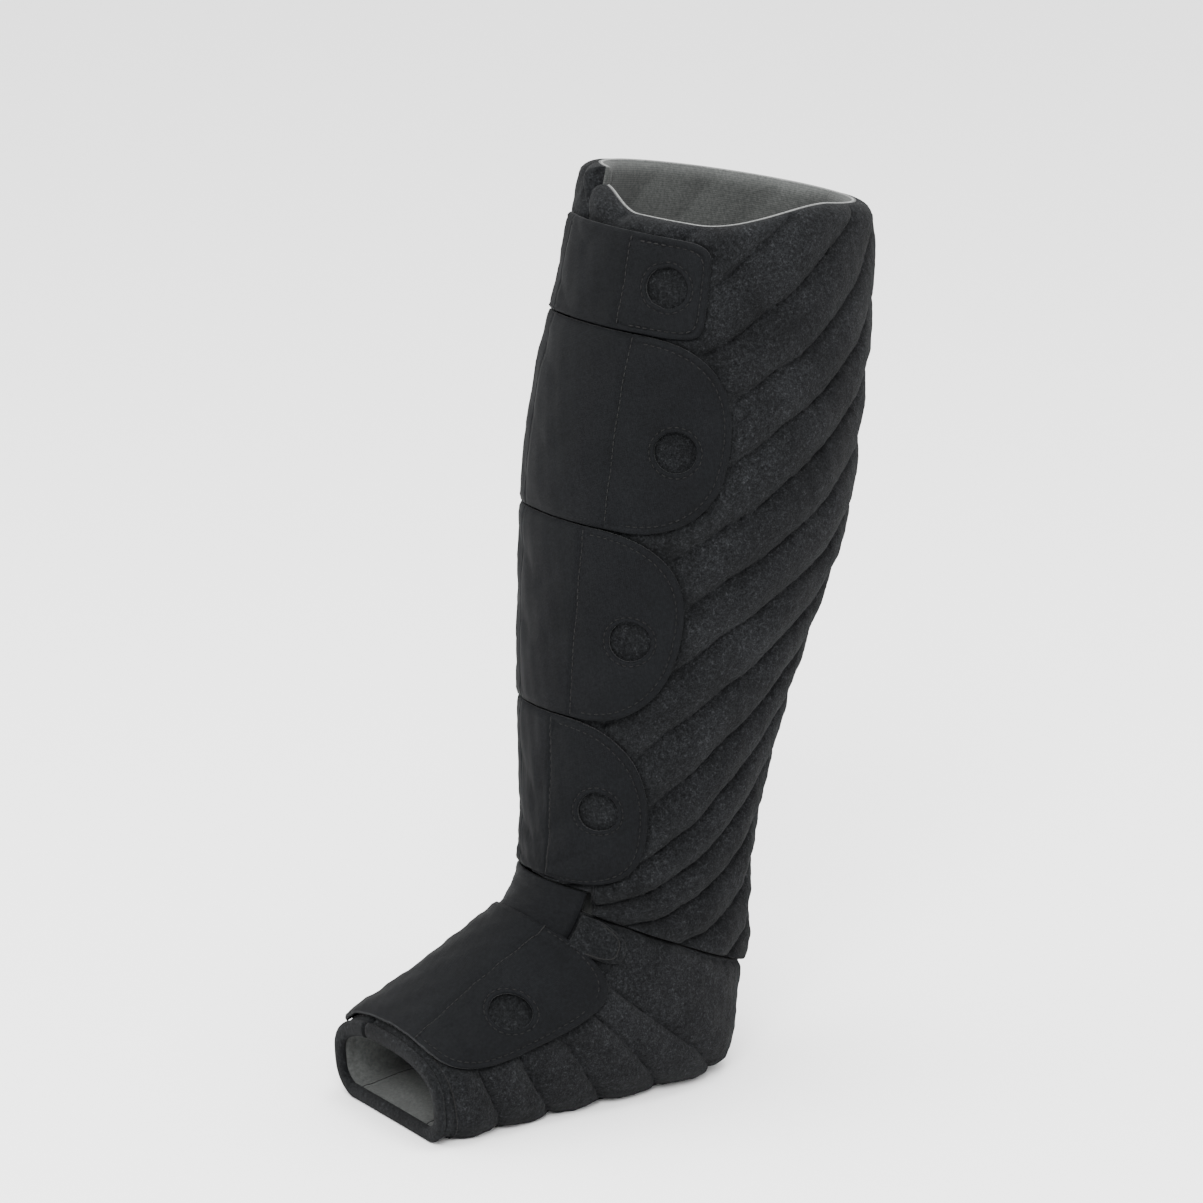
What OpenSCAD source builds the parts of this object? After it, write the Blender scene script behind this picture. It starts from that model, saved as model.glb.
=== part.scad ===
// Quilted cold compression wrap for a lower leg and foot, open at the toes.
// Millimetres. Toes point to -Y, the inner (medial) side of the right leg is +X,
// +Z is up, and the origin lies on the resting face under the heel.

/* [Quilted wall] */
// thickness of the brushed outer cloth
shell_t = 2.5; // [1.5:0.1:4]
// thickness of the filled channels
fill_t = 6.5; // [4:0.5:12]
// thickness of the smooth lining
lining_t = 1.2; // [0.8:0.1:2]
// number of sloping channels along the leg
channels = 12; // [8:1:18]

/* [Straps] */
// thickness of one strap
strap_t = 2.3; // [1.5:0.1:4]
// thickness of the hook patch under each tab
hook_t = 0.8; // [0.5:0.1:1.5]
// diameter of the finger hole in each tab
hole_d = 19; // [14:0.5:24]

/* [Seams] */
// half width of the rear fold, as an angle around the leg
fold_half = 2.6; // [1:0.1:5]
// half of the ankle seam gap, in steps along the body
seam_half = 0.02; // [0.01:0.005:0.05]

/* [Hidden] */
air = 0.35;                      // clearance kept between neighbouring layers
slack = 0.9;                     // room left round each filled channel
fill_top = -(shell_t + slack);     // offset of the channels' outer side
fill_low = fill_top - fill_t;
lining_top = fill_low - slack;
lining_low = lining_top - lining_t;
hook_low = 0.80;                 // offset of the hook patch above the cloth
strap_low = hook_low + hook_t + 0.15;
strap_top = strap_low + strap_t;
front_seam = -12;                // angle of the opening's outer edge
rear_fold = 135;                 // angle of the two folds the panels turn on
ankle = 7.9;                     // station of the ankle seam
sole_start = 9.2;                // station where the sole panel begins
toe = 13;                        // last station, at the toes

// Each row is one section of the body: front y, front z, back y, back z,
// half width, front roundness, back roundness.
sections = [
  [-19, 438, 116, 413, 65, 2.0, 2.0],
  [-31, 383, 114, 358, 70, 2.0, 2.0],
  [-43, 336, 108, 311, 73, 2.0, 2.0],
  [-50, 289, 101, 263, 73, 2.0, 2.0],
  [-53, 240,  84, 218, 67, 2.0, 2.0],
  [-55, 189,  68, 173, 60, 2.0, 2.0],
  [-55, 137,  56, 128, 53, 2.0, 2.0],
  [-57, 110,  51,  86, 49, 2.1, 2.1],
  [-62,  97,  54,  40, 47, 2.2, 2.3],
  [-70,  88,  38,   0, 48, 2.2, 2.6],
  [-84,  79,  -8,  -3, 47, 2.2, 3.2],
  [-104, 67, -55,  -4, 46, 2.2, 3.4],
  [-124, 54, -100, -4, 48, 2.3, 3.4],
  [-142, 43, -140, -3, 49, 2.4, 3.4],
];

// ---- the lofted body: a point at station t, angle u, offset "off" from the skin
function spline(a, b, c, d, f) =
  0.5 * ((2 * b) + (c - a) * f + (2 * a - 5 * b + 4 * c - d) * f * f
         + (3 * b - a - 3 * c + d) * f * f * f);
function section(t) =
  let (last = len(sections) - 1,
       i = max(0, min(floor(t), last - 1)),
       b = sections[i], c = sections[i + 1],
       a = i == 0 ? 2 * b - c : sections[i - 1],
       d = i + 1 == last ? 2 * c - b : sections[i + 2])
  spline(a, b, c, d, t - i);
function skin(t, u, off) =
  let (s = section(t),
       front = [s[0], s[1]], back = [s[2], s[3]],
       mid = (front + back) / 2, half = norm(front - back) / 2,
       dir = (front - back) / (2 * half),
       n = cos(u) > 0 ? s[5] : s[6],
       r = pow(pow(abs(cos(u)), n) + pow(abs(sin(u)), n), -1 / n),
       along = (half + off) * r * cos(u),
       across = (s[4] + off) * r * sin(u))
  [across, mid[0] + dir[0] * along, max(mid[1] + dir[1] * along, -off)];

function lerp(a, b, f) = a + (b - a) * f;
function steps(a, b, n) = [for (i = [0:n]) lerp(a, b, i / n)];
function ease(x) = let (k = max(0, min(1, x))) k * k * (3 - 2 * k);

// A closed piece of wall: rows is a list of [t at the low u, t at the high u,
// low u, high u], and each row has n steps across.
module wall(rows, n, inner, outer) {
  m = len(rows);
  k = n + 1;
  function layer(off) = [for (r = rows, j = [0:n])
    skin(lerp(r[0], r[1], j / n), lerp(r[2], r[3], j / n), off)];
  size = m * k;
  function quad(a, b, c, d) = [[a, b, c], [a, c, d]];
  top = [for (i = [0:m - 2], j = [0:n - 1])
    each quad(i * k + j, i * k + j + 1, (i + 1) * k + j + 1, (i + 1) * k + j)];
  bottom = [for (i = [0:m - 2], j = [0:n - 1])
    each quad(size + i * k + j, size + (i + 1) * k + j,
              size + (i + 1) * k + j + 1, size + i * k + j + 1)];
  ends = [for (j = [0:n - 1], e = [0, 1])
    let (a = e * (m - 1) * k + j)
    each (e == 0 ? quad(a, size + a, size + a + 1, a + 1)
                 : quad(a, a + 1, size + a + 1, size + a))];
  sides = [for (i = [0:m - 2], e = [0, 1])
    let (a = i * k + e * n, b = (i + 1) * k + e * n)
    each (e == 0 ? quad(a, b, size + b, size + a)
                 : quad(a, size + a, size + b, b))];
  polyhedron(points = concat(layer(outer), layer(inner)),
             faces = concat(top, bottom, ends, sides), convexity = 8);
}
// a plain panel between two stations and two angles
module panel(t0, t1, u0, u1, m, n, inner, outer)
  wall([for (t = steps(t0, t1, m)) [t, t, u0, u1]], n, inner, outer);

// ---- seams shared by neighbours
fold_in = rear_fold - fold_half;
fold_out = rear_fold + fold_half;
back_seam = 0.8;  // half the width of the seam down the middle of the back
ankle_up = ankle - seam_half;
ankle_down = ankle + seam_half;
// the side panels of the foot end here, at the heel panel's front edge
// the opening panels stop a little above the ankle seam, and higher in front,
// where the tongue closes the crease
function panel_end(u) = ankle - 0.09 - 0.6 * (1 - ease((abs(u) - 40) / 8));
// the inner panel's top edge dips in front; the outer panel's does not
function top_edge(u) = u < front_seam + 1 ? 0 : 0.3 * (1 - ease((u - 45) / 65));
function heel_edge(t) = 78 + 64 * ease((t - 8.1) / 1.1);
heel_gap = 1.2;

// sloping channels of one panel: they rise toward the back of the leg
module sloped_channels(u0, u1, slope, n = 13) {
  t0 = 0.12;
  t1 = ankle - 0.15;
  pitch = t1 / channels;
  half = 0.5 * pitch - 0.05;
  for (k = [-channels:2 * channels]) {
    rows = [for (u = steps(u1, u0, n))
      let (c = (k + 0.5) * pitch - slope * min(abs(u), 360 - abs(u)) / 90)
      [max(t0 + top_edge(u), c - half), min(t1, panel_end(u) - 0.06, c + half), u, u]];
    good = [for (r = rows) if (r[1] - r[0] > 0.04) r];
    if (len(good) > 1) wall(good, 1, fill_low, fill_top);
  }
}
// foot channels fan from the instep to the sole, so each follows the sections
module fan_channels(t0, t1, lo, hi, count, rows) {
  pitch = (t1 - t0) / count;
  for (k = [0:count - 1])
    wall([for (t = steps(t0 + (k + 0.1) * pitch, t0 + (k + 0.9) * pitch, rows))
           [t, t, lo(t), hi(t)]], 13, fill_low, fill_top);
}
leg_slope = 1.9;   // stations a channel rises over a quarter turn

// ---- back panel, folds and heel
module back_shape(inner, outer, m, n)
  panel(0.06, ankle_up, fold_out, 360 - fold_out, m, n, inner, outer);
module back_cloth() color([0.17, 0.18, 0.18]) back_shape(-shell_t, 0, 20, 9);
module back_channels() color([0.25, 0.45, 0.55]) {
  sloped_channels(fold_out + 1, 180 - back_seam, leg_slope, 6);
  sloped_channels(180 + back_seam, 360 - fold_out - 1, leg_slope, 6);
}
module back_lining() color([0.38, 0.39, 0.38])
  back_shape(lining_low, lining_top, 14, 8);

// a binding folded over the top edge, between two angles
module top_binding(u0, u1, n) color([0.3, 0.31, 0.31])
  wall([for (u = steps(u1, u0, n)) [top_edge(u) - 0.05, top_edge(u) + 0.05, u, u]],
       1, lining_low - 0.2, 0.3);
module back_top_binding() top_binding(fold_out, 360 - fold_out, 7);

// narrow strips that bridge the two rear folds, inside the line they turn on
module fold_strip(side) color([0.2, 0.21, 0.21])
  panel(0.1, ankle_up - 0.02, side * rear_fold - 1.9, side * rear_fold + 1.9,
        14, 1, lining_low, lining_top + 2);
module fold_medial() fold_strip(1);
module fold_lateral() fold_strip(-1);

module heel_shape(inner, outer, m, n)
  wall([for (t = steps(ankle_down, sole_start - 0.02, m))
         [t, t, heel_edge(t) + heel_gap, 360 - heel_edge(t) - heel_gap]],
       n, inner, outer);
module heel_cloth() color([0.17, 0.18, 0.18]) heel_shape(-shell_t, 0, 10, 20);
module heel_channels() color([0.25, 0.45, 0.55])
  fan_channels(ankle_down + 0.05, sole_start - 0.07,
               function(t) heel_edge(t) + heel_gap + 2,
               function(t) 360 - heel_edge(t) - heel_gap - 2, 3, 2);
module heel_lining() color([0.38, 0.39, 0.38])
  heel_shape(lining_low, lining_top, 8, 16);

// ---- sole
sole_in = 142 + heel_gap;
module sole_shape(inner, outer, m, n)
  panel(sole_start + 0.02, toe - 0.06, sole_in, 360 - sole_in, m, n, inner, outer);
module sole_cloth() color([0.15, 0.16, 0.16])
  difference() {
    sole_shape(-shell_t, 1, 8, 6);
    translate([-150, -300, -20]) cube([300, 600, 20]);
  }
module sole_pad() color([0.25, 0.45, 0.55])
  panel(sole_start + 0.08, toe - 0.12, sole_in + 2, 358 - sole_in, 8, 6,
        fill_low, fill_top);
module sole_lining() color([0.38, 0.39, 0.38])
  sole_shape(lining_low, lining_top, 8, 6);

// ---- the two sides of the foot, meeting on the instep under the last strap
module side_shape(side, near, inner, outer, m, n) {
  rows = concat(steps(ankle_down, 9.3, m), [for (k = [1:6]) lerp(9.3, toe - 0.06, k / 6)]);
  wall([for (t = rows)
         side > 0 ? [t, t, near, heel_edge(t) - 0.6]
                  : [t, t, -heel_edge(t) + 0.6, near]], n, inner, outer);
}
instep_medial = -20;
instep_lateral = -24;
module foot_medial_cloth() color([0.17, 0.18, 0.18])
  side_shape(1, instep_medial, -shell_t, 0, 10, 14);
module foot_medial_channels() color([0.25, 0.45, 0.55])
  fan_channels(ankle_down + 0.05, toe - 0.12, function(t) 24,
               function(t) heel_edge(t) - 3, 8, 2);
module foot_medial_lining() color([0.38, 0.39, 0.38])
  side_shape(1, instep_medial, lining_low, lining_top, 9, 13);
module foot_lateral_cloth() color([0.17, 0.18, 0.18])
  side_shape(-1, instep_lateral, -shell_t, 0, 10, 11);
module foot_lateral_channels() color([0.25, 0.45, 0.55])
  fan_channels(ankle_down + 0.05, toe - 0.12,
               function(t) 3 - heel_edge(t), function(t) instep_lateral - 3, 8, 2);
module foot_lateral_lining() color([0.38, 0.39, 0.38])
  side_shape(-1, instep_lateral, lining_low, lining_top, 9, 10);

// hem round the toe opening, left open across the instep split
module toe_binding() color([0.3, 0.31, 0.31])
  panel(toe - 0.05, toe + 0.05, instep_medial, instep_lateral + 360, 1, 24,
        lining_low - 0.2, 0.3);

// smooth tongue that closes the crease in front of the ankle, between two straps
module ankle_tongue() color([0.15, 0.155, 0.16])
  panel(7.3, 9.0, -34, 36, 14, 10, 0.25, 1.15);
// short overlapping tab at the inner ankle, with a rounded edge
module ankle_tab() color([0.19, 0.2, 0.2])
  wall([for (t = steps(7.97, 8.80, 8))
         let (w = 1 - pow(abs(t - 8.385) / 0.47, 3))
         [t, t, 38, 41 + 19 * w]], 4, 0.4, 2);

// ---- the two opening panels of the leg
// an opening panel: strips that run down the leg, side by side
module front_panel(u0, u1, inner, outer, m, n)
  wall([for (u = steps(u1, u0, n)) [top_edge(u) + 0.06, panel_end(u), u, u]],
       m, inner, outer);

module medial_shape(inner, outer, m, n)
  front_panel(front_seam + 3, fold_in, inner, outer, m, n);
module medial_cloth() color([0.17, 0.18, 0.18]) medial_shape(-shell_t, 0, 20, 18);
module medial_channels() color([0.25, 0.45, 0.55])
  sloped_channels(front_seam + 4, fold_in - 1, leg_slope);
module medial_lining() color([0.38, 0.39, 0.38])
  medial_shape(lining_low, lining_top, 14, 13);
module medial_top_binding() top_binding(front_seam + 3, fold_in, 12);
// smooth flap that reaches under the outer panel
module medial_underlap() color([0.32, 0.33, 0.32])
  panel(0.42, 6.9, front_seam - 26, front_seam + 9, 18, 4,
        lining_low - 2.2, lining_low - 0.8);

module lateral_shape(inner, outer, m, n)
  front_panel(-fold_in, front_seam, inner, outer, m, n);
module lateral_cloth() color([0.17, 0.18, 0.18]) lateral_shape(-shell_t, 0, 20, 15);
module lateral_channels() color([0.25, 0.45, 0.55])
  sloped_channels(1 - fold_in, front_seam - 2, leg_slope);
module lateral_lining() color([0.38, 0.39, 0.38])
  lateral_shape(lining_low, lining_top, 14, 12);
module lateral_top_binding() top_binding(-fold_in, front_seam, 11);

// ---- straps. Each row: first and last station, root angle, hinge angle of the
// root tape, angle of the tab's seam, tip angle, corner roundness, hole station.
root_a = -24;
root_b = -14;
straps = [
  [0.42, 1.22, root_a, root_b, 22, 54, 7.0, 0.82, 39],
  [1.28, 3.14, root_a, root_b, 29, 69, 2.4, 2.32, 51],
  [3.20, 4.98, root_a, root_b, 21, 63, 2.4, 4.20, 44],
  [5.04, 7.00, root_a, root_b, 11, 61, 2.4, 5.85, 37],
  [8.85, 12.80, -56, -44, 24, 76, 2.4, 11.0, 50],
];
strap_grey = [0.15, 0.155, 0.16];
cut = 0.5;        // half of the gap at a strap seam, in degrees

module strap_root(k) color(strap_grey)
  let (s = straps[k])
  panel(s[0], s[1], s[2], s[3] - cut, 8, 1, hook_low, strap_top);
module strap_band(k) color(strap_grey)
  let (s = straps[k])
  panel(s[0], s[1], s[3] + cut, s[4] - cut, 8, 6, strap_low, strap_top);
// the tab's outline: straight at its seam, rounded at its tip
function tab_tip(s, t, inset) =
  let (mid = (s[0] + s[1]) / 2, half = (s[1] - s[0]) / 2,
       x = min(1, abs(t - mid) / half))
  s[4] + 4 + (s[5] - s[4] - 4 - inset) * pow(max(0, 1 - pow(x, s[6])), 1 / s[6]);
function tab_rows(n) = [for (i = [0:n]) sin(lerp(-90, 90, i / n))];
module tab_shape(k, inset, inner, outer) {
  s = straps[k];
  mid = (s[0] + s[1]) / 2;
  half = (s[1] - s[0]) / 2;
  trim = 1 - inset / 45;
  wall([for (x = tab_rows(14))
         [mid + x * half * trim, mid + x * half * trim,
          s[4] + cut + inset / 3, tab_tip(s, mid + x * half, inset)]],
       6, inner, outer);
}
module finger_bore(k, d = hole_d, sides = 64) {
  s = straps[k];
  p = skin(s[7], s[8], 0);
  out = skin(s[7], s[8], 10) - p;
  du = skin(s[7], s[8] + 1, 0) - skin(s[7], s[8] - 1, 0);
  dt = skin(s[7] + 0.05, s[8], 0) - skin(s[7] - 0.05, s[8], 0);
  n = cross(dt, du);
  m = (n * out > 0 ? 1 : -1) * n / norm(n);
  translate(p)
    rotate([0, acos(m[2]), atan2(m[1], m[0])])
      translate([0, 0, -6]) cylinder(d = d, h = 20, $fn = sides);
}
module strap_tab(k) color(strap_grey)
  difference() {
    tab_shape(k, 0, strap_low, strap_top);
    finger_bore(k);
  }
module strap_hook(k) color([0.1, 0.1, 0.11])
  difference() {
    tab_shape(k, 4, hook_low, hook_low + hook_t);
    finger_bore(k, hole_d + 4, 12);
  }

module strap_1_root() strap_root(0);
module strap_1_band() strap_band(0);
module strap_1_tab() strap_tab(0);
module strap_1_hook() strap_hook(0);
module strap_2_root() strap_root(1);
module strap_2_band() strap_band(1);
module strap_2_tab() strap_tab(1);
module strap_2_hook() strap_hook(1);
module strap_3_root() strap_root(2);
module strap_3_band() strap_band(2);
module strap_3_tab() strap_tab(2);
module strap_3_hook() strap_hook(2);
module strap_4_root() strap_root(3);
module strap_4_band() strap_band(3);
module strap_4_tab() strap_tab(3);
module strap_4_hook() strap_hook(3);
module strap_5_root() strap_root(4);
module strap_5_band() strap_band(4);
module strap_5_tab() strap_tab(4);
module strap_5_hook() strap_hook(4);

back_cloth();
back_channels();
back_lining();
back_top_binding();
fold_medial();
fold_lateral();
heel_cloth();
heel_channels();
heel_lining();
sole_cloth();
sole_pad();
sole_lining();
foot_medial_cloth();
foot_medial_channels();
foot_medial_lining();
foot_lateral_cloth();
foot_lateral_channels();
foot_lateral_lining();
toe_binding();
ankle_tongue();
ankle_tab();
medial_cloth();
medial_channels();
medial_lining();
medial_top_binding();
medial_underlap();
lateral_cloth();
lateral_channels();
lateral_lining();
lateral_top_binding();
strap_1_root();
strap_1_band();
strap_1_tab();
strap_1_hook();
strap_2_root();
strap_2_band();
strap_2_tab();
strap_2_hook();
strap_3_root();
strap_3_band();
strap_3_tab();
strap_3_hook();
strap_4_root();
strap_4_band();
strap_4_tab();
strap_4_hook();
strap_5_root();
strap_5_band();
strap_5_tab();
strap_5_hook();
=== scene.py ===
# %% [markdown]
# This scene dresses a quilted cold wrap for a lower leg and foot. A frame of exact parts
# comes first. It holds the real sizes and the hinges, and nothing in it is moved here.
# Each cloth piece is then built as its own mesh, and many of them are attached to the frame body
# that carries them.

import math

import bmesh
import bpy
import numpy as np
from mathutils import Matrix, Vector


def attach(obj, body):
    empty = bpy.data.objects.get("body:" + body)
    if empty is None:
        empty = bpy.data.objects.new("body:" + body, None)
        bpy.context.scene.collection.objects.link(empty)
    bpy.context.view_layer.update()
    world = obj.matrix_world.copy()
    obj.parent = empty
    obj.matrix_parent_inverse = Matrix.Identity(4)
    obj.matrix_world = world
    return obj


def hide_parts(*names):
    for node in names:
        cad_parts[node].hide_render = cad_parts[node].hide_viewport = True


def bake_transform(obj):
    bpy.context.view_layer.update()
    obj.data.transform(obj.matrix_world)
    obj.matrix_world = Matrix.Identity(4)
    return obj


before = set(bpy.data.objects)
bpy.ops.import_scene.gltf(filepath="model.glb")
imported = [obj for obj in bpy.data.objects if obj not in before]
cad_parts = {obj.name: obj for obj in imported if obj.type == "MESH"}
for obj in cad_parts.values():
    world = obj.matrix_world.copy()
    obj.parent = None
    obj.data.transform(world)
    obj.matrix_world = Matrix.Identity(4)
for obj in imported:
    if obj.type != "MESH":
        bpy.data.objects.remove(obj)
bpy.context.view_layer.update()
MM = 0.001

# %% [markdown]
# The wrap is one tube from the knee to the toes. Such a body is described well by sections:
# each row says where its front and back points are, how wide it is and how round. A spline
# runs through the rows, so any point is found from a station along the tube, an angle round
# it and an offset from the skin. Every piece below uses this one surface, so they all fit.

# %% The lofted body
SECTIONS = np.array([
    # front y, front z, back y, back z, half width, front roundness, back roundness
    [-19, 438, 116, 413, 65, 2.0, 2.0],
    [-31, 383, 114, 358, 70, 2.0, 2.0],
    [-43, 336, 108, 311, 73, 2.0, 2.0],
    [-50, 289, 101, 263, 73, 2.0, 2.0],
    [-53, 240, 84, 218, 67, 2.0, 2.0],
    [-55, 189, 68, 173, 60, 2.0, 2.0],
    [-55, 137, 56, 128, 53, 2.0, 2.0],
    [-57, 110, 51, 86, 49, 2.1, 2.1],
    [-62, 97, 54, 40, 47, 2.2, 2.3],
    [-70, 88, 38, 0, 48, 2.2, 2.6],
    [-84, 79, -8, -3, 47, 2.2, 3.2],
    [-104, 67, -55, -4, 46, 2.2, 3.4],
    [-124, 54, -100, -4, 48, 2.3, 3.4],
    [-142, 43, -140, -3, 49, 2.4, 3.4],
], float)
KNEE, ANKLE, TOE = 0.0, 7.9, 13.0


def section(t):
    """The section's numbers at station t, on a spline through the rows."""
    padded_rows = np.vstack([2 * SECTIONS[0] - SECTIONS[1], SECTIONS,
                             2 * SECTIONS[-1] - SECTIONS[-2]])
    i = np.clip(np.floor(t).astype(int), 0, len(SECTIONS) - 2)
    a, b, c, d = (padded_rows[i + k] for k in range(4))
    f = (t - i)[..., None]
    return 0.5 * (2 * b + (c - a) * f + (2 * a - 5 * b + 4 * c - d) * f ** 2
                  + (3 * b - a - 3 * c + d) * f ** 3)


def skin(t, u, off=0.0):
    """Points in millimetres at station t and angle u in degrees, off outside the skin."""
    t, u, off = np.broadcast_arrays(*(np.asarray(v, float) for v in (t, u, off)))
    s = section(t)
    front, back = s[..., 0:2], s[..., 2:4]
    middle = (front + back) / 2
    half = np.linalg.norm(front - back, axis=-1) / 2
    aim = (front - back) / (2 * half[..., None])
    cu, su = np.cos(np.radians(u)), np.sin(np.radians(u))
    n = np.where(cu > 0, s[..., 5], s[..., 6])
    r = (np.abs(cu) ** n + np.abs(su) ** n) ** (-1 / n)
    along = (half + off) * r * cu
    across = (s[..., 4] + off) * r * su
    y = middle[..., 0] + aim[..., 0] * along
    z = middle[..., 1] + aim[..., 1] * along
    return np.stack([across, y, np.maximum(z, np.maximum(-off, 0.0))], axis=-1)


def ease(x):
    x = np.clip(x, 0, 1)
    return x * x * (3 - 2 * x)


def scale_at(t, u):
    """Millimetres for one station and for one degree at a place on the skin."""
    step_t = np.linalg.norm(skin(t + 0.05, u) - skin(t - 0.05, u)) / 0.1
    step_u = np.linalg.norm(skin(t, u + 1.0) - skin(t, u - 1.0)) / 2.0
    return step_t, step_u


print("height at the knee", skin(KNEE, 0.0), "toe edge", skin(TOE, 0.0))

# %% [markdown]
# A mesh is a list of points and a list of faces. This helper makes one in metres, gives each
# face its material, and welds points that fall on each other, so two grids that share a
# border become one closed skin. A map in real metres goes with it for the knit patterns.

# %% Mesh helper
WELD_DISTANCE = 0.00002     # metres


def make_mesh(name, points, faces, materials, slots=None, map_points=None, weld=True):
    mesh = bpy.data.meshes.new(name)
    mesh.from_pydata((np.asarray(points) * MM).tolist(), [], faces)
    piece = bpy.data.objects.new(name, mesh)
    bpy.context.collection.objects.link(piece)
    for material in materials:
        mesh.materials.append(material)
    if slots is not None:
        mesh.polygons.foreach_set("material_index", slots)
    if map_points is not None:
        layer = mesh.uv_layers.new(name="metres")
        corners = np.empty(len(mesh.loops), int)
        mesh.loops.foreach_get("vertex_index", corners)
        layer.data.foreach_set("uv", (np.asarray(map_points) * MM)[corners].ravel())
    mesh.polygons.foreach_set("use_smooth", [True] * len(mesh.polygons))
    if weld:
        work = bmesh.new()
        work.from_mesh(mesh)
        bmesh.ops.remove_doubles(work, verts=work.verts, dist=WELD_DISTANCE)
        bmesh.ops.recalc_face_normals(work, faces=work.faces)
        work.to_mesh(mesh)
        work.free()
    mesh.update()
    return piece


def grid_faces(rows, columns, start=0, flip=False):
    """Quads of a grid whose points are numbered row by row."""
    out = []
    for i in range(rows - 1):
        for j in range(columns - 1):
            a = start + i * columns + j
            quad = [a, a + 1, a + columns + 1, a + columns]
            out.append(quad[::-1] if flip else quad)
    return out


# %% [markdown]
# The outside is brushed loop cloth: soft, matt and a little mottled, with pale fibres among
# dark ones. Noise at three scales gives the mottling, the flecks and the nap, and sheen gives
# the pale edge that such a cloth shows against the light. No image is needed for any of it.

# %% Cloth materials
def new_material(name):
    material = bpy.data.materials.new(name)
    material.use_nodes = True
    nodes, links = material.node_tree.nodes, material.node_tree.links
    shader = nodes["Principled BSDF"]
    return material, nodes, links, shader


def noise_node(nodes, links, coordinates, scale, detail=2.0, rough=0.6):
    node = nodes.new("ShaderNodeTexNoise")
    node.inputs["Scale"].default_value = scale
    node.inputs["Detail"].default_value = detail
    node.inputs["Roughness"].default_value = rough
    links.new(coordinates, node.inputs["Vector"])
    return node.outputs["Fac"]


def ramp_node(nodes, links, factor, stops):
    node = nodes.new("ShaderNodeValToRGB")
    elements = node.color_ramp.elements
    for k, (place, grey) in enumerate(stops):
        element = elements[k] if k < 2 else elements.new(place)
        element.position = place
        element.color = (grey[0], grey[1], grey[2], 1.0)
    links.new(factor, node.inputs["Fac"])
    return node.outputs["Color"]


def mix_colours(nodes, links, kind, amount, a, b):
    node = nodes.new("ShaderNodeMix")
    node.data_type = "RGBA"
    node.blend_type = kind
    node.inputs["Factor"].default_value = amount
    links.new(a, node.inputs["A"])
    links.new(b, node.inputs["B"])
    return node.outputs["Result"]


def bump_node(nodes, links, shader, heights):
    """heights is a list of (output, strength, distance in metres), coarse first."""
    last = None
    for height, strength, distance in heights:
        node = nodes.new("ShaderNodeBump")
        node.inputs["Strength"].default_value = strength
        node.inputs["Distance"].default_value = distance
        links.new(height, node.inputs["Height"])
        if last is not None:
            links.new(last, node.inputs["Normal"])
        last = node.outputs["Normal"]
    links.new(last, shader.inputs["Normal"])


def object_coordinates(nodes):
    return nodes.new("ShaderNodeTexCoord").outputs["Object"]


def brushed_cloth(name, lift=1.0):
    material, nodes, links, shader = new_material(name)
    where = object_coordinates(nodes)
    patches = noise_node(nodes, links, where, 38.0, 3.0)
    flecks = noise_node(nodes, links, where, 1400.0, 3.0, 0.7)
    nap = noise_node(nodes, links, where, 560.0, 4.0, 0.75)
    dark = [0.0027 * lift, 0.0029 * lift, 0.0031 * lift]
    mid = [0.0069 * lift, 0.0073 * lift, 0.0079 * lift]
    pale = [0.0190 * lift, 0.0200 * lift, 0.0213 * lift]
    base = ramp_node(nodes, links, nap, [(0.30, dark), (0.56, mid), (0.78, pale)])
    speck = ramp_node(nodes, links, flecks, [(0.41, [0.60] * 3), (0.74, [2.0] * 3)])
    cloud = ramp_node(nodes, links, patches, [(0.30, [0.72] * 3), (0.72, [1.3] * 3)])
    colour = mix_colours(nodes, links, "MULTIPLY", 1.0, base, speck)
    colour = mix_colours(nodes, links, "MULTIPLY", 1.0, colour, cloud)
    links.new(colour, shader.inputs["Base Color"])
    shader.inputs["Roughness"].default_value = 0.96
    shader.inputs["Specular IOR Level"].default_value = 0.03
    shader.inputs["Sheen Weight"].default_value = 0.018
    shader.inputs["Sheen Roughness"].default_value = 0.55
    bump_node(nodes, links, shader, [(nap, 0.55, 0.0014), (flecks, 0.45, 0.0005)])
    return material


brushed = brushed_cloth("brushed_loop_cloth")
brushed_hem = brushed_cloth("brushed_hem_cloth", 0.85)
print("made", brushed.name, brushed_hem.name)
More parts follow.
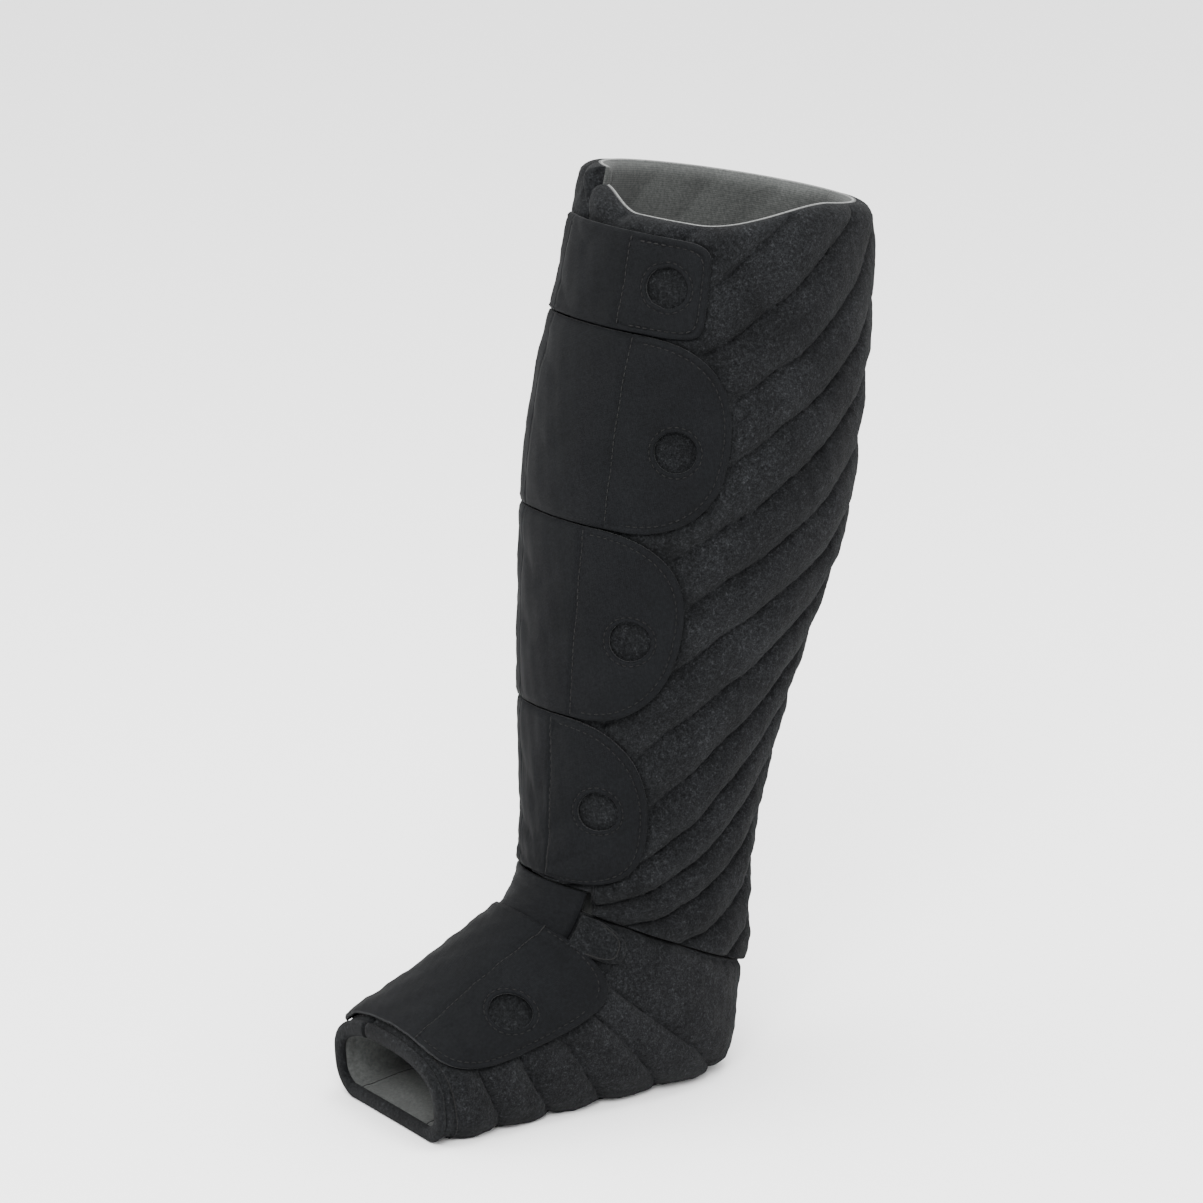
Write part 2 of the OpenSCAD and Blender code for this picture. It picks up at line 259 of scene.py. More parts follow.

# %% [markdown]
# The straps are a smooth knit over thin foam. Up close it is fine ribs of yarn, so two wave
# bands at right angles, in real metres, make the knit, with a soft noise to break them up.
# The cut edges, round the outline and in the hole, get a paler copy of the knit: partly the foam's
# own colour, partly a painted highlight along the edge. The lining is a smooth warp knit with a
# sheen.

# %% Knit materials
def knit_cloth(name, dark, pale, rib, roughness, sheen, depth=0.00018):
    material, nodes, links, shader = new_material(name)
    where = nodes.new("ShaderNodeTexCoord").outputs["UV"]
    around = object_coordinates(nodes)
    ribs = []
    for direction in ("X", "Y"):
        wave = nodes.new("ShaderNodeTexWave")
        wave.wave_type = "BANDS"
        wave.bands_direction = direction
        wave.inputs["Scale"].default_value = rib
        wave.inputs["Distortion"].default_value = 0.6
        wave.inputs["Detail"].default_value = 1.0
        wave.inputs["Detail Scale"].default_value = 3.0
        links.new(where, wave.inputs["Vector"])
        ribs.append(wave.outputs["Color"])
    weave = mix_colours(nodes, links, "MULTIPLY", 0.8, ribs[0], ribs[1])
    grain = noise_node(nodes, links, around, 700.0, 3.0, 0.7)
    cloud = noise_node(nodes, links, around, 26.0, 2.0)
    base = ramp_node(nodes, links, grain, [(0.34, dark), (0.70, pale)])
    shade = ramp_node(nodes, links, weave, [(0.0, [0.80] * 3), (0.8, [1.16] * 3)])
    soft = ramp_node(nodes, links, cloud, [(0.32, [0.86] * 3), (0.70, [1.14] * 3)])
    colour = mix_colours(nodes, links, "MULTIPLY", 1.0, base, shade)
    colour = mix_colours(nodes, links, "MULTIPLY", 1.0, colour, soft)
    links.new(colour, shader.inputs["Base Color"])
    shader.inputs["Roughness"].default_value = roughness
    shader.inputs["Specular IOR Level"].default_value = 0.06
    shader.inputs["Sheen Weight"].default_value = sheen
    shader.inputs["Sheen Roughness"].default_value = 0.45
    bump_node(nodes, links, shader, [(cloud, 0.25, 0.0012), (weave, 0.5, depth),
                                     (grain, 0.25, 0.0002)])
    return material


strap_knit = knit_cloth("strap_knit", [0.0022, 0.0024, 0.0028], [0.0041, 0.0045, 0.0052],
                        420.0, 0.78, 0.006)
# paler edge colour: the foam's own tone plus a painted highlight along every cut edge
edge_foam_and_highlight = knit_cloth("strap_cut_edge", [0.008, 0.0085, 0.009], [0.018, 0.019, 0.020],
                      500.0, 0.85, 0.02)
lining_knit = knit_cloth("lining_tricot", [0.034, 0.036, 0.035], [0.058, 0.060, 0.058],
                         380.0, 0.62, 0.04)
piping_knit = knit_cloth("edge_piping", [0.11, 0.112, 0.11], [0.18, 0.185, 0.18],
                         450.0, 0.75, 0.10)


def thread_material():
    material, nodes, links, shader = new_material("sewing_thread")
    twist = noise_node(nodes, links, object_coordinates(nodes), 1500.0, 2.0)
    colour = ramp_node(nodes, links, twist, [(0.35, [0.0035] * 3), (0.7, [0.0085] * 3)])
    links.new(colour, shader.inputs["Base Color"])
    shader.inputs["Roughness"].default_value = 0.6
    shader.inputs["Specular IOR Level"].default_value = 0.1
    bump_node(nodes, links, shader, [(twist, 0.4, 0.0001)])
    return material


def hook_material():
    material, nodes, links, shader = new_material("hook_tape")
    spots = nodes.new("ShaderNodeTexVoronoi")
    spots.inputs["Scale"].default_value = 620.0
    links.new(object_coordinates(nodes), spots.inputs["Vector"])
    near = spots.outputs["Distance"]
    colour = ramp_node(nodes, links, near, [(0.15, [0.030] * 3), (0.6, [0.006] * 3)])
    links.new(colour, shader.inputs["Base Color"])
    shader.inputs["Roughness"].default_value = 0.45
    bump_node(nodes, links, shader, [(near, 0.9, 0.0006)])
    return material


thread = thread_material()
hook_tape = hook_material()
print("made", strap_knit.name, lining_knit.name, thread.name, hook_tape.name)

# %% [markdown]
# Quilting turns a flat wall into rows of pillows. Between two seams the cloth swells in a
# round arch, and at a seam it dives. On the leg the seams slope up toward the back; on the
# foot they fan from the instep to the sole. One function gives the height of the cloth at any
# place, and another presses it flat where a strap lies on it.

# %% Quilting
CHANNELS = 12
SLOPE = 1.9             # stations that a leg channel rises in a quarter turn
PITCH = 7.75 / CHANNELS
SEAM_DEPTH = -4.0       # millimetres from the skin at a seam
CREST = 1.9             # millimetres from the skin at the top of a pillow
PATTERN_CHANGE = ANKLE - 0.045  # above it the channels slope, and below it they fan
HEEL_SEAM = 9.27        # station of the first seam below the heel's large channel
HEEL_PITCH, FAN_PITCH = 1.37, 0.7   # stations for one channel, before and after that seam
STRAPS = [
    # first and last station, root, root hinge, tab seam, tip, corner roundness, hole
    dict(t0=0.42, t1=1.25, root=-24, turn=-14, seam=22, tip=54, corner=7.0, hole=(0.82, 39)),
    dict(t0=1.27, t1=3.17, root=-24, turn=-14, seam=29, tip=69, corner=2.4, hole=(2.32, 51)),
    dict(t0=3.19, t1=5.01, root=-24, turn=-14, seam=21, tip=63, corner=2.4, hole=(4.20, 44)),
    dict(t0=5.03, t1=7.10, root=-24, turn=-14, seam=11, tip=61, corner=2.4, hole=(5.85, 37)),
    dict(t0=8.85, t1=12.80, root=-56, turn=-44, seam=24, tip=76, corner=2.4, hole=(11.0, 50)),
]

TONGUE = dict(t0=7.24, t1=9.02, low=-44, high=36)


def tip_angle(strap, t):
    """Where a tab ends: straight sides that turn into a round tip."""
    middle, half = (strap["t0"] + strap["t1"]) / 2, (strap["t1"] - strap["t0"]) / 2
    x = np.clip(np.abs(t - middle) / half, 0, 1)
    n = strap["corner"]
    start = strap["seam"] + 4
    return start + (strap["tip"] - start) * (1 - x ** n) ** (1 / n)


def turned_from_front(u):
    return np.minimum(np.abs(u), 360 - np.abs(u))


def channel_place(t, u):
    """How far a place is through its channel: whole numbers are seams."""
    turned = turned_from_front(u)
    wobble = 0.035 * np.sin(1.7 * t + 0.09 * u) + 0.02 * np.sin(0.21 * u - 2.3 * t)
    leg = (t + SLOPE * turned / 90) / PITCH + wobble
    across = t - HEEL_SEAM + 0.03 * np.sin(0.07 * u + 2 * t)
    foot = np.where(across < 0, across / HEEL_PITCH, across / FAN_PITCH)
    return np.where(t < PATTERN_CHANGE, leg, foot)


def puckers(t, u, strength=1.0):
    """Soft uneven folds, from waves of unrelated lengths."""
    a = np.sin(9.1 * t + 0.11 * u + 1.3) * np.sin(0.23 * u - 3.1 * t)
    b = np.sin(21.0 * t - 0.31 * u) * np.sin(0.47 * u + 13.0 * t + 0.7)
    c = np.sin(47.0 * t + 0.83 * u + 2.0) * np.sin(1.07 * u - 29.0 * t)
    return strength * (0.55 * a + 0.30 * b + 0.15 * c)


def pillow(t, u):
    """Height of the quilting from 0 at a seam to 1 on a crest."""
    return np.abs(np.sin(np.pi * channel_place(t, u))) ** 0.52


def pressed(t, u):
    """1 under a strap or the tongue, 0 well away from all of them."""
    turned = np.where(u > 180, u - 360, u)
    reach = 0.10
    most = (ease((t - TONGUE["t0"] + reach) / reach) * ease((TONGUE["t1"] + reach - t) / reach)
            * ease((turned - TONGUE["low"] + 4) / 4) * ease((TONGUE["high"] + 5 - turned) / 5))
    for strap in STRAPS:
        inside_t = ease((t - strap["t0"] + reach) / reach) * ease((strap["t1"] - t + reach) / reach)
        tip = tip_angle(strap, np.clip(t, strap["t0"], strap["t1"]))
        inside_u = ease((turned - strap["root"] + 3) / 4) * ease((tip + 5 - turned) / 7)
        most = np.maximum(most, inside_t * inside_u)
    return most


def heel_tuck(t, u):
    """The cloth is drawn in where the ankle seam crosses the heel."""
    depth, middle, spread = 8.0, 8.3, 0.75
    behind = ease((turned_from_front(u) - 80) / 75)
    return depth * behind * np.exp(-((t - middle) / spread) ** 2)


def cloth_height(t, u):
    h = pillow(t, u)
    shallow = 1 - 0.42 * ease((t - ANKLE + 0.2) / 0.4)
    full = CREST - (CREST - SEAM_DEPTH) * shallow * (1 - h) + puckers(t, u, 0.7)
    full += 0.5 * np.sin(0.9 * t + 0.05 * u) - 0.8 * np.clip(1 - 2.2 * h, 0, 1)
    gather = 0.7 * (1 - h) ** 1.5 * np.sin(0.95 * u + 9 * t) * np.sin(0.31 * u - 4 * t)
    under_strap = 0.15 + 0.54 * (h - 0.7) + 0.5 * puckers(t, u)
    press = pressed(t, u)
    return (full + gather) * (1 - press) + under_strap * press - heel_tuck(t, u)


print("channels", CHANNELS, "height of the cloth beside strap 2",
      round(float(cloth_height(np.array(2.0), np.array(100.0))), 2))

# %% [markdown]
# A quilted panel is a padded shell: brushed cloth outside, smooth lining inside, and a rolled
# edge where they meet. Two grids that share their border make it. Near a rolled border the two
# grids come together along a half round, so the edge looks folded and full, and not cut.

# %% Quilted panel
LINING = -12.2          # millimetres from the skin to the inside
EDGE_MIDDLE = -7.0      # where cloth and lining meet on a rolled edge
ROLL = 5.5              # radius of a rolled edge
STATION_LEG, STATION_FOOT = 46.0, 30.0  # millimetres for one station, near enough for edges
DEGREE = 1.05           # millimetres for one degree round the wall, near enough for edges


def border_steps(first, last, unit, count, rolled_first, rolled_last):
    """Places from first to last, close together near a rolled border."""
    near = np.array([0.0, 0.25, 0.7, 1.4, 2.4, 3.8, ROLL]) / unit
    head = first + near if rolled_first else np.array([first])
    tail = last - near[::-1] if rolled_last else np.array([last])
    body = np.linspace(head[-1], tail[0], count)[1:-1]
    return np.concatenate([head, body, tail])


def roundness(distance, roll=ROLL):
    """Thickness share at a distance in millimetres from a rolled border."""
    x = np.clip(distance / roll, 0, 1)
    return np.sqrt(1 - (1 - x) ** 2)


def quilted_panel(name, t0, t1, low, high, rows, columns, rolled, height=cloth_height,
                  outside=brushed, first=None, last=None, snug=()):
    """low and high give the panel's angles at a station; rolled names its rolled sides.
    first and last give the stations where it starts and ends at an angle, if they vary.
    A side named in snug has a tight fold, as where it is sewn to the next panel."""
    stations = border_steps(t0, t1, STATION_LEG, rows, "top" in rolled, "bottom" in rolled)
    share = border_steps(0.0, 1.0, DEGREE * (high(t0 + 1) - low(t0 + 1)), columns,
                         "low" in rolled, "high" in rolled)
    t = np.repeat(stations[:, None], len(share), axis=1)
    start, stop = low(stations)[:, None], high(stations)[:, None]
    u = start + (stop - start) * share[None, :]
    width = DEGREE * (stop - start)
    begin = np.full_like(t, t0) if first is None else first(u)
    end = np.full_like(t, t1) if last is None else last(u)
    t = (t + (begin - t0) * (1 - ease((t - t0) / 2.0))
         - (t1 - end) * ease((t - t1 + 1.6) / 1.6))
    thick = np.ones_like(t)
    if "top" in rolled:
        thick = np.minimum(thick, roundness((t - begin) * STATION_LEG,
                                            1.6 if "top" in snug else ROLL))
    if "bottom" in rolled:
        thick = np.minimum(thick, roundness((end - t) * STATION_FOOT,
                                            1.5 if "bottom" in snug else ROLL))
    if "low" in rolled:
        thick = np.minimum(thick, roundness(share[None, :] * width))
    if "high" in rolled:
        thick = np.minimum(thick, roundness((1 - share[None, :]) * width))
    outer = height(t, u)
    thin = 4.5 * ease((t - 12.1) / 0.8)     # the wall gets thinner toward the toes
    inner = LINING + thin + 0.9 * (1 - pillow(t, u))
    outer = EDGE_MIDDLE + thin / 2 + (outer - EDGE_MIDDLE - thin / 2) * thick
    inner = EDGE_MIDDLE + thin / 2 + (inner - EDGE_MIDDLE - thin / 2) * thick
    r, c = t.shape
    points = np.concatenate([skin(t, u, outer).reshape(-1, 3),
                             skin(t, u, inner).reshape(-1, 3)])
    faces = grid_faces(r, c) + grid_faces(r, c, r * c, flip=True)
    slots = [0] * ((r - 1) * (c - 1)) + [1] * ((r - 1) * (c - 1))
    walls = []
    if "low" not in rolled:
        walls += [(i * c, (i + 1) * c) for i in range(r - 1)]
    if "high" not in rolled:
        walls += [((i + 1) * c + c - 1, i * c + c - 1) for i in range(r - 1)]
    if "top" not in rolled:
        walls += [(j + 1, j) for j in range(c - 1)]
    if "bottom" not in rolled:
        walls += [((r - 1) * c + j, (r - 1) * c + j + 1) for j in range(c - 1)]
    faces += [[a, b, b + r * c, a + r * c] for a, b in walls]
    slots += [0] * len(walls)
    flat = np.stack([u * 1.2, t * STATION_LEG], axis=-1).reshape(-1, 2)
    piece = make_mesh(name, points, faces, [outside, lining_knit], slots,
                      np.concatenate([flat, flat]))
    print(name, len(piece.data.polygons), "faces")
    return piece


def steady(angle):
    return lambda t: np.full(np.shape(t), float(angle)) if np.shape(t) else float(angle)


# %% [markdown]
# The leg is two quilted halves that meet at a seam down the calf. Each half wraps from there to the
# front. Each half is kept where it is built, with no frame body to carry it.

# %% Leg halves
FRONT_SEAM = -12
LEG_LOW = ANKLE - 0.06


def leg_end(u):
    """The panels end above the ankle seam, and higher in front, behind the tongue."""
    return ANKLE - 0.05 - 0.60 * (1 - ease((turned_from_front(u) - 38) / 4))


def top_edge(u):
    """The inner panel's top edge dips in front, and rises again where it runs in."""
    return 0.3 * (1 - ease((u - 45) / 65)) - 0.16 * (1 - ease((u + 9) / 26))


def calf_seam(height):
    """Adds the dip of the seam that runs down the calf."""
    def with_seam(t, u):
        gap = np.abs(np.where(u < 0, u + 360, u) - 180)
        return height(t, u) - 3.0 * np.exp(-(gap / 3.2) ** 2)
    return with_seam


leg_height = calf_seam(cloth_height)
leg_medial = quilted_panel("leg_medial_quilt", KNEE, LEG_LOW, steady(FRONT_SEAM + 3), steady(180),
                           250, 150, {"top", "bottom", "low"}, leg_height,
                           first=top_edge, last=leg_end, snug={"bottom"})
leg_lateral = quilted_panel("leg_lateral_quilt", KNEE, LEG_LOW, steady(-180), steady(FRONT_SEAM),
                            250, 140, {"top", "bottom", "high"}, leg_height,
                            last=leg_end, snug={"bottom"})


def across_fold(piece):
    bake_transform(piece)


across_fold(leg_medial)
across_fold(leg_lateral)
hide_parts("medial_cloth", "medial_channels", "medial_lining",
            "medial_top_binding", "fold_medial", "back_cloth", "back_channels",
            "back_lining", "back_top_binding")
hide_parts("lateral_cloth", "lateral_channels", "lateral_lining",
            "lateral_top_binding", "fold_lateral")

# %% [markdown]
# The foot is made the same way, as two sides that meet under the heel and up the back of it.
# Its channels fan out from the instep. The sole is a flatter panel let in between the sides.

# %% Foot and sole
FOOT_TOP, FOOT_TOE = ANKLE - 0.04, TOE - 0.05
SOLE_START, SOLE_HALF = 9.1, 38


def side_end(t):
    """The sides reach the middle behind the heel, and make room for the sole in front."""
    return 180 - SOLE_HALF * ease((t - SOLE_START) / 0.45)


def foot_height(t, u):
    lap = 0.4 * np.exp(-((t - ANKLE) / 0.16) ** 2)
    gap = np.abs(np.where(u < 0, u + 360, u) - 180)
    seam = 2.6 * np.exp(-(gap / 3.5) ** 2) * (t < SOLE_START + 0.1)
    calm = ease((FOOT_TOE - t) / 0.5)
    return (cloth_height(t, u) + 1.2) * calm - 1.2 - seam + lap


foot_medial = quilted_panel("foot_medial_quilt", FOOT_TOP, FOOT_TOE, steady(-21.8), side_end,
                            160, 100, {"top", "bottom", "low"}, foot_height, snug={"top"})
foot_lateral = quilted_panel("foot_lateral_quilt", FOOT_TOP, FOOT_TOE,
                             lambda t: -side_end(t), steady(-22.2),
                             160, 90, {"top", "bottom", "high"}, foot_height, snug={"top"})


def sole_height(t, u):
    return np.full(np.broadcast(t, u).shape, -0.2)


sole = quilted_panel("sole_panel", SOLE_START + 0.04, FOOT_TOE,
                     lambda t: side_end(t) + 0.8, lambda t: 359.2 - side_end(t),
                     60, 30, {"bottom"}, sole_height)
for piece, nodes in (
        (foot_medial, ["foot_medial_cloth", "foot_medial_channels", "foot_medial_lining",
                       "heel_cloth", "heel_channels", "heel_lining"]),
        (foot_lateral, ["foot_lateral_cloth", "foot_lateral_channels",
                        "foot_lateral_lining"]),
        (sole, ["sole_cloth", "sole_pad", "sole_lining"])):
    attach(piece, "wall")
    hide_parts(*nodes)

# %% [markdown]
# Each strap is one length of knit over foam with rounded edges, cut to a D at its free end,
# with a round finger hole. The end is built in rings that start on the hole and finish on the
# outline, so hole and outline are both clean curves. The band joins it at the sewn line.

# %% Strap outline
STRAP_LOW, STRAP_TOP = 1.75, 4.05
HOLE_R = 9.5


def local_scale(strap):
    t, u = strap["hole"]
    return scale_at(np.array(t), np.array(float(u)))


def strap_outline(strap, seam_points=26, round_points=90, inset=0.0):
    """Stations and angles round the tab, from the top of its seam, down it and round the tip."""
    t0, t1 = strap["t0"], strap["t1"]
    per_t, per_u = local_scale(strap)
    dt, du = inset / per_t, inset / per_u
    middle, half = (t0 + t1) / 2, (t1 - t0) / 2
    seam_t = np.linspace(t0 + dt, t1 - dt, seam_points)
    turn = np.linspace(90, -90, round_points)
    tip_t = middle + (half - dt) * np.sin(np.radians(turn))
    x = np.abs(np.sin(np.radians(turn)))
    n = strap["corner"]
    start, stop = strap["seam"] + 4, strap["tip"] - du
    tip_u = start + (stop - start) * (1 - np.clip(x, 0, 1) ** n) ** (1 / n)
    outline_t = np.concatenate([seam_t, tip_t])
    outline_u = np.concatenate([np.full(seam_points, strap["seam"] + du * 0.6), tip_u])
    return outline_t, outline_u, seam_points


def even_outline(strap, inset, spacing):
    """Points at even spacing along the cut outline, for stitching beside it."""
    t, u, seam_points = strap_outline(strap, inset=inset)
    t, u = t[seam_points:], u[seam_points:]
    path = skin(t, u, STRAP_TOP)
    length = np.concatenate([[0], np.cumsum(np.linalg.norm(np.diff(path, axis=0), axis=1))])
    places = np.arange(spacing, length[-1], spacing)
    return np.interp(places, length, t), np.interp(places, length, u)


def edge_distance(strap, t, u):
    """Millimetres from a place on the strap to the nearest cut edge, and to the hole."""
    per_t, per_u = local_scale(strap)
    edge_t, edge_u, seam_points = strap_outline(strap, round_points=160)
    rim = np.stack([edge_t[seam_points:] * per_t, edge_u[seam_points:] * per_u], axis=-1)
    here = np.stack([t * per_t, u * per_u], axis=-1)
    to_rim = np.sqrt(((here[..., None, :] - rim) ** 2).sum(-1)).min(-1)
    to_sides = np.minimum(t - strap["t0"], strap["t1"] - t) * per_t
    hole = np.hypot((t - strap["hole"][0]) * per_t, (u - strap["hole"][1]) * per_u) - HOLE_R
    near = np.where(u < strap["seam"] + 4, np.minimum(to_sides, to_rim), to_rim)
    return near, hole


def strap_offsets(strap, t, u):
    """Outer and inner height of the strap: rounded edges, sunk stitching, soft waves."""
    near, hole = edge_distance(strap, t, u)
    rim = np.minimum(near, hole)
    round_off = 1.0 * (1 - np.clip(rim / 1.5, 0, 1)) ** 2
    per_u = local_scale(strap)[1]
    sewn = 0.75 * np.exp(-((near - 3.2) / 0.55) ** 2)
    sewn += 0.75 * np.exp(-((hole - 2.2) / 0.55) ** 2)
    sewn += 0.80 * np.exp(-(((u - strap["seam"]) * per_u) / 0.7) ** 2)
    wave = 0.9 * (pillow(t, u) - 0.7) * np.clip(rim / 8, 0.3, 1) + 0.5 * puckers(t, u)
    top = STRAP_TOP - round_off - sewn * (rim > 0.6) + wave
    low = STRAP_LOW + wave
    return top, low


print("tab outline length", len(strap_outline(STRAPS[1])[0]), "points")

# %% [markdown]
# Now the straps are built. Each is one mesh from its root hinge round the tab, kept where it is
# built; its sewn root is a second piece, carried by the wall for the fifth strap.

# %% Strap mesh
def rim_walls(rows, columns, start, sides):
    """The quads that join an upper and a lower grid along the named sides."""
    last = (rows - 1) * columns
    pairs = []
    if "first" in sides:
        pairs += [(i * columns, (i + 1) * columns) for i in range(rows - 1)]
    if "last" in sides:
        pairs += [(i * columns + columns - 1, (i + 1) * columns + columns - 1)
                  for i in range(rows - 1)]
    if "ends" in sides:
        pairs += [(j, j + 1) for j in range(columns - 1)]
        pairs += [(last + j, last + j + 1) for j in range(columns - 1)]
    lower = start + rows * columns
    return [[start + a, start + b, lower + b, lower + a] for a, b in pairs]


def tab_rings(strap, inset=0.0, hole_r=HOLE_R):
    """Stations and angles of rings that start on the hole and end on the outline."""
    per_t, per_u = local_scale(strap)
    edge_t, edge_u, seam_points = strap_outline(strap, inset=inset)
    hole_t, hole_u = strap["hole"]
    away = np.arctan2((edge_t - hole_t) * per_t, (edge_u - hole_u) * per_u)
    start_t = hole_t + hole_r * np.sin(away) / per_t
    start_u = hole_u + hole_r * np.cos(away) / per_u
    reach = np.hypot((edge_t - start_t) * per_t, (edge_u - start_u) * per_u)
    fine = np.array([0.0, 0.35, 0.8, 1.4, 2.2, 3.0])
    rings = [mm / reach for mm in fine]
    for part in np.linspace(0.0, 1.0, 15)[1:-1]:
        rings.append((3.0 + (reach - 7.0) * part) / reach)
    rings += [1 - mm / reach for mm in (4.0, 3.2, 2.4, 1.5, 0.9, 0.4, 0.0)]
    ring = np.array(rings)
    return (start_t + (edge_t - start_t) * ring, start_u + (edge_u - start_u) * ring,
            edge_t, seam_points)


def tab_faces(rows, count, seam_points, open_seam):
    """Upper and lower faces of the rings, the hole's wall and the cut edge."""
    total, last = rows * count, (rows - 1) * count
    faces, slots = [], []
    for start in (0, total):
        for i in range(rows - 1):
            for j in range(count):
                k = (j + 1) % count
                a, b = start + i * count, start + (i + 1) * count
                faces.append([a + j, a + k, b + k, b + j])
                slots.append(0)
    for j in range(count):
        k = (j + 1) % count
        faces.append([j, k, total + k, total + j])
        slots.append(1)
        if not (open_seam and j < seam_points - 1):
            faces.append([last + j, last + k, total + last + k, total + last + j])
            slots.append(1)
    return faces, slots


def strap_mesh(name, strap):
    per_t, per_u = local_scale(strap)
    t, u, edge_t, seam_points = tab_rings(strap)
    top, low = strap_offsets(strap, t, u)
    faces, slots = tab_faces(len(t), len(edge_t), seam_points, True)
    # the band, from the root hinge to the sewn line, shares the seam's points
    steps = np.linspace(strap["turn"] + 0.4, strap["seam"], 26)
    band_t = np.repeat(edge_t[:seam_points, None], len(steps), axis=1)
    band_u = np.repeat(steps[None, :], seam_points, axis=0)
    band_top, band_low = strap_offsets(strap, band_t, band_u)
    start = 2 * t.size
    n, m = band_t.shape
    grid = grid_faces(n, m, start) + grid_faces(n, m, start + n * m, flip=True)
    rim = rim_walls(n, m, start, {"first", "ends"})
    points = [skin(t, u, top), skin(t, u, low),
              skin(band_t, band_u, band_top), skin(band_t, band_u, band_low)]
    flat = [np.stack([a * per_u, b * per_t], -1) for a, b in
            ((u, t), (u, t), (band_u, band_t), (band_u, band_t))]
    return make_mesh(name, np.concatenate([p.reshape(-1, 3) for p in points]),
                     faces + grid + rim, [strap_knit, edge_foam_and_highlight],
                     slots + [0] * len(grid) + [1] * len(rim),
                     np.concatenate([f.reshape(-1, 2) for f in flat]))


def root_mesh(name, strap):
    per_t, per_u = local_scale(strap)
    t = np.repeat(np.linspace(strap["t0"], strap["t1"], 40)[:, None], 12, axis=1)
    u = np.repeat(np.linspace(strap["root"], strap["turn"] + 0.2, 12)[None, :], 40, axis=0)
    near = np.minimum(np.minimum(t - strap["t0"], strap["t1"] - t) * per_t,
                      (u - strap["root"]) * per_u)
    wave = 0.54 * (pillow(t, u) - 0.7) + 0.5 * puckers(t, u)
    rise = np.clip((u - strap["root"]) * per_u / 3.0, 0, 1)
    top = STRAP_TOP - 1.0 * (1 - np.clip(near / 1.5, 0, 1)) ** 2 + wave - 1.0 * (1 - rise)
    top -= 0.5 * np.exp(-((near - 2.6) / 0.8) ** 2)
    low = 0.3 + (STRAP_LOW - 0.9) * rise + wave * 0.5
    n, m = t.shape
    faces = grid_faces(n, m) + grid_faces(n, m, n * m, flip=True)
    rim = rim_walls(n, m, 0, {"first", "last", "ends"})
    flat = np.stack([u * per_u, t * per_t], -1).reshape(-1, 2)
    return make_mesh(name, np.concatenate([skin(t, u, top).reshape(-1, 3),
                                           skin(t, u, low).reshape(-1, 3)]),
                     faces + rim, [strap_knit, edge_foam_and_highlight],
                     [0] * len(faces) + [1] * len(rim), np.concatenate([flat, flat]))


strap_pieces = []
for number, strap in enumerate(STRAPS, 1):
    body = strap_mesh(f"strap_{number}_cloth", strap)
    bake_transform(body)
    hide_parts(f"strap_{number}_band", f"strap_{number}_tab")
    root = root_mesh(f"strap_{number}_sewn_root", strap)
    if number < 5:
        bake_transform(root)
    else:
        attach(root, "wall")
    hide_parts(f"strap_{number}_root")
    strap_pieces.append(body)
print("straps", [len(p.data.polygons) for p in strap_pieces])

# %% [markdown]
# A patch of hook tape lies under each tab and grips the brushed cloth. It is the tab's own
# shape, a little smaller, so the same rings make it.

# %% Hook patches
def hook_patch(name, strap):
    per_t, per_u = local_scale(strap)
    t, u, edge_t, seam_points = tab_rings(strap, inset=4.5, hole_r=HOLE_R + 2)
    wave = 0.54 * (pillow(t, u) - 0.7) + 0.5 * puckers(t, u)
    faces, slots = tab_faces(len(t), len(edge_t), seam_points, False)
    points = np.concatenate([skin(t, u, STRAP_LOW + wave - 0.25).reshape(-1, 3),
                             skin(t, u, STRAP_LOW + wave - 1.1).reshape(-1, 3)])
    flat = np.stack([u * per_u, t * per_t], -1).reshape(-1, 2)
    return make_mesh(name, points, faces, [hook_tape, hook_tape], slots,
                     np.concatenate([flat, flat]))


for number, strap in enumerate(STRAPS, 1):
    patch = hook_patch(f"strap_{number}_hook_patch", strap)
    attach(patch, f"tab_{number}")
    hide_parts(f"strap_{number}_hook")
print("hook patches", len(STRAPS))

# %% [markdown]
# A smooth tongue closes the crease in front of the ankle, a short cloth tab lies below the seam at
# the inner ankle, and a flap of lining runs in under the outer panel. Each thin piece is attached
# to the frame body that carries it.

# %% Tongue, ankle tab, gusset and flap
def flat_patch(name, t0, t1, low, high, inside, outside, material, rows, columns=24):
    """A thin cloth patch with softly rounded edges; low and high are functions of station."""
    stations = np.linspace(t0, t1, rows)
    t = np.repeat(stations[:, None], columns, axis=1)
    share = np.linspace(0, 1, columns)[None, :]
    u = low(stations)[:, None] + (high(stations) - low(stations))[:, None] * share
    near_t = np.minimum(t - t0, t1 - t) * 30
    near_u = np.minimum(share, 1 - share) * (high(stations) - low(stations))[:, None]
    near = np.minimum(near_t, near_u)
    round_off = 0.6 * (1 - np.clip(near / 1.5, 0, 1)) ** 2
    wave = 0.4 * puckers(t, u)
    n, m = t.shape
    faces = grid_faces(n, m) + grid_faces(n, m, n * m, flip=True)
    rim = rim_walls(n, m, 0, {"first", "last", "ends"})
    flat = np.stack([u * 1.0, t * 40.0], -1).reshape(-1, 2)
    return make_mesh(name, np.concatenate([
        skin(t, u, outside - round_off + wave).reshape(-1, 3),
        skin(t, u, inside + wave).reshape(-1, 3)]), faces + rim, [material], None,
        np.concatenate([flat, flat]))


def laid_sheet(piece, body):
    """Attaches a thin piece to the frame body that carries it."""
    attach(piece, body)


tongue_place = tuple(TONGUE.values())
tongue = flat_patch("ankle_tongue_cloth", *tongue_place[:2], steady(TONGUE["low"]),
                    steady(TONGUE["high"]), 0.4, 1.7, strap_knit, rows=50)
laid_sheet(tongue, "wall")
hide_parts("ankle_tongue")


def tab_bulge(t):
    """The tab's rounded outer edge, as an angle at a station."""
    return 40 + 21 * (1 - np.clip(np.abs(t - TAB_MIDDLE) / 0.62, 0, 1) ** 3.2)


